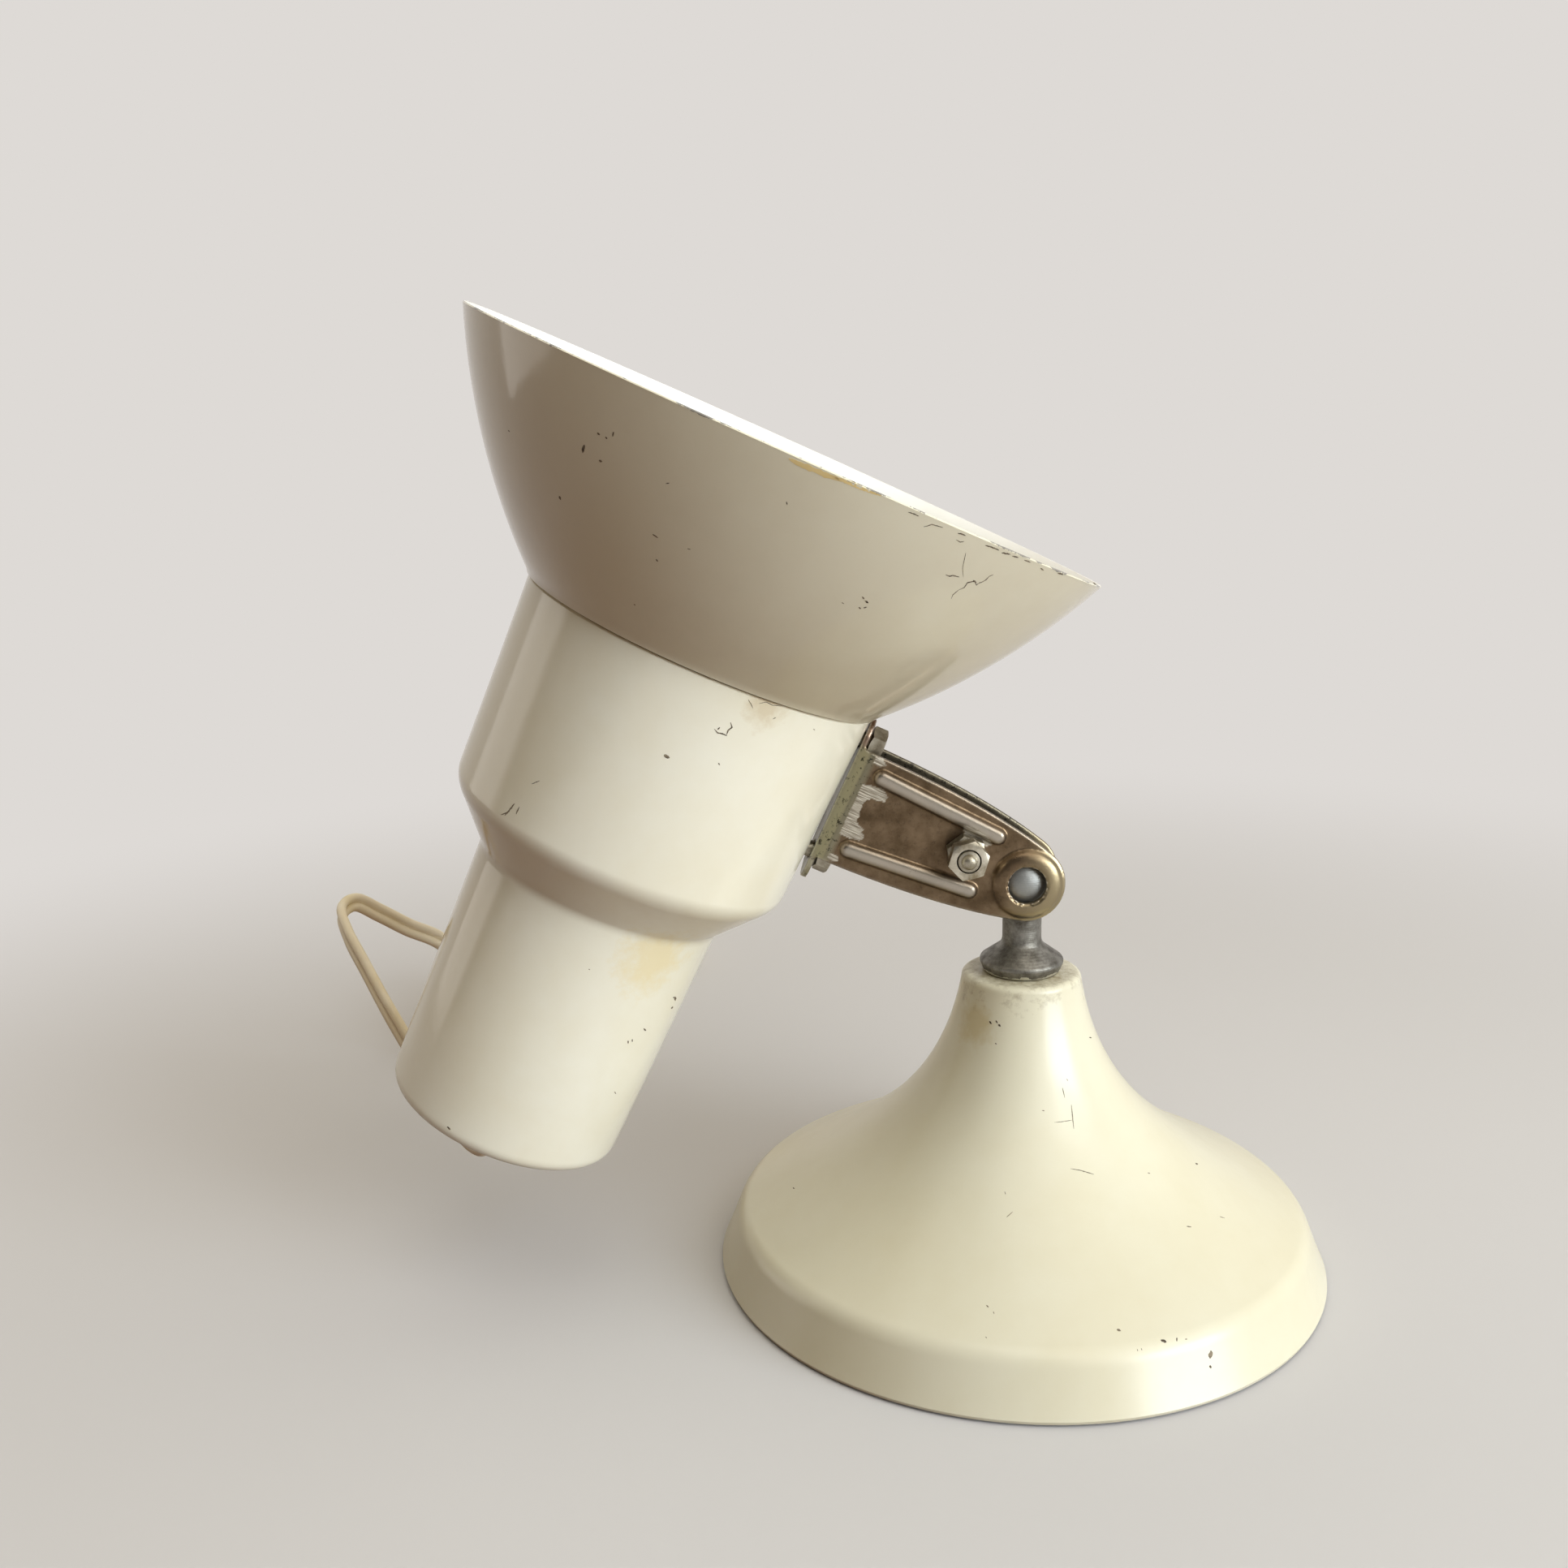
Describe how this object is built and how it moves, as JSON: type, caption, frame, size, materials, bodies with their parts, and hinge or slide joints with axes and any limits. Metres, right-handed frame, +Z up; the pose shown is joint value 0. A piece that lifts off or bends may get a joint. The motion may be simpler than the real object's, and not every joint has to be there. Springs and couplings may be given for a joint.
{
  "type": "spot table lamp",
  "caption": "Table lamp with a trumpet foot, a ball joint, a pressed clamping yoke and a cylindrical spot head with a flared shade and a flat flex with an inline switch.",
  "frame": {"origin": "middle of the foot, on the table", "axes": "+Z up along the foot's axis, +X away from the spot head, +Y to the back, where the flex runs"},
  "size_m": [0.2376, 0.3158, 0.2185],
  "materials": {
    "cream_enamel": "glossy stove enamel, ivory, lightly yellowed and chipped",
    "green_felt": "pressed felt",
    "ballast_iron": "raw sand-cast surface",
    "cast_zinc": "turned die-cast zinc, dull grey",
    "aged_nickel": "worn nickel plate with brown patina",
    "screw_steel": "plated steel, tarnished",
    "brown_phenolic": "moulded phenolic",
    "contact_brass": "plain brass",
    "cap_aluminium": "rolled thread, satin",
    "opal_glass": "opal inside coating",
    "black_glass": "black cap glass",
    "amber_grip": "amber translucent moulding",
    "cream_flex": "smooth flat twin flex, cream",
    "cream_plastic": "moulded cream plastic"
  },
  "bodies": {
    "base": {"base_shell": "cream_enamel", "base_felt": "green_felt", "base_ballast": "ballast_iron"},
    "stud": {"ball_stud": "cast_zinc", "tie_rod": "screw_steel", "tie_rod_washer": "screw_steel", "tie_rod_nut": "screw_steel", "cord_lead": "cream_flex", "cord_coil": "cream_flex", "cord_switch_tail": "cream_flex", "cord_plug_tail": "cream_flex", "switch_base": "cream_plastic", "switch_cover": "cream_plastic", "plug_body": "cream_plastic", "plug_pin_1": "contact_brass", "plug_pin_2": "contact_brass"},
    "head": {"housing": "cream_enamel", "shade": "cream_enamel", "yoke": "aged_nickel", "clamp_screw": "screw_steel", "clamp_nut": "screw_steel", "clamp_lock_nut": "screw_steel", "yoke_bolt_upper": "screw_steel", "yoke_nut_upper": "screw_steel", "yoke_bolt_lower": "screw_steel", "yoke_nut_lower": "screw_steel", "lampholder_cap": "brown_phenolic", "lampholder_barrel": "brown_phenolic", "lampholder_contact": "contact_brass", "holder_tube": "screw_steel", "holder_tube_nut": "screw_steel", "cord_grip": "amber_grip", "bulb_contact": "contact_brass", "bulb_insulator": "black_glass", "bulb_cap": "cap_aluminium", "bulb_glass": "opal_glass"},
    "rocker": {"switch_rocker": "brown_phenolic"}
  },
  "joints": [
    {"name": "swivel", "type": "hinge", "parent": "base", "child": "stud", "pos_m": [0, 0, 0.0703], "axis": [0, 0, 1], "continuous": true},
    {"name": "tilt", "type": "hinge", "parent": "stud", "child": "head", "pos_m": [0, 0, 0.092], "axis": [0, 1, 0], "range_deg": [-10, 95], "deforming": ["cord_lead"]},
    {"name": "rocker_press", "type": "hinge", "parent": "stud", "child": "rocker", "pos_m": [-0.155, 0.1485, 0.0135], "axis": [1, 0, 0], "range_deg": [-16, 0]}
  ]
}
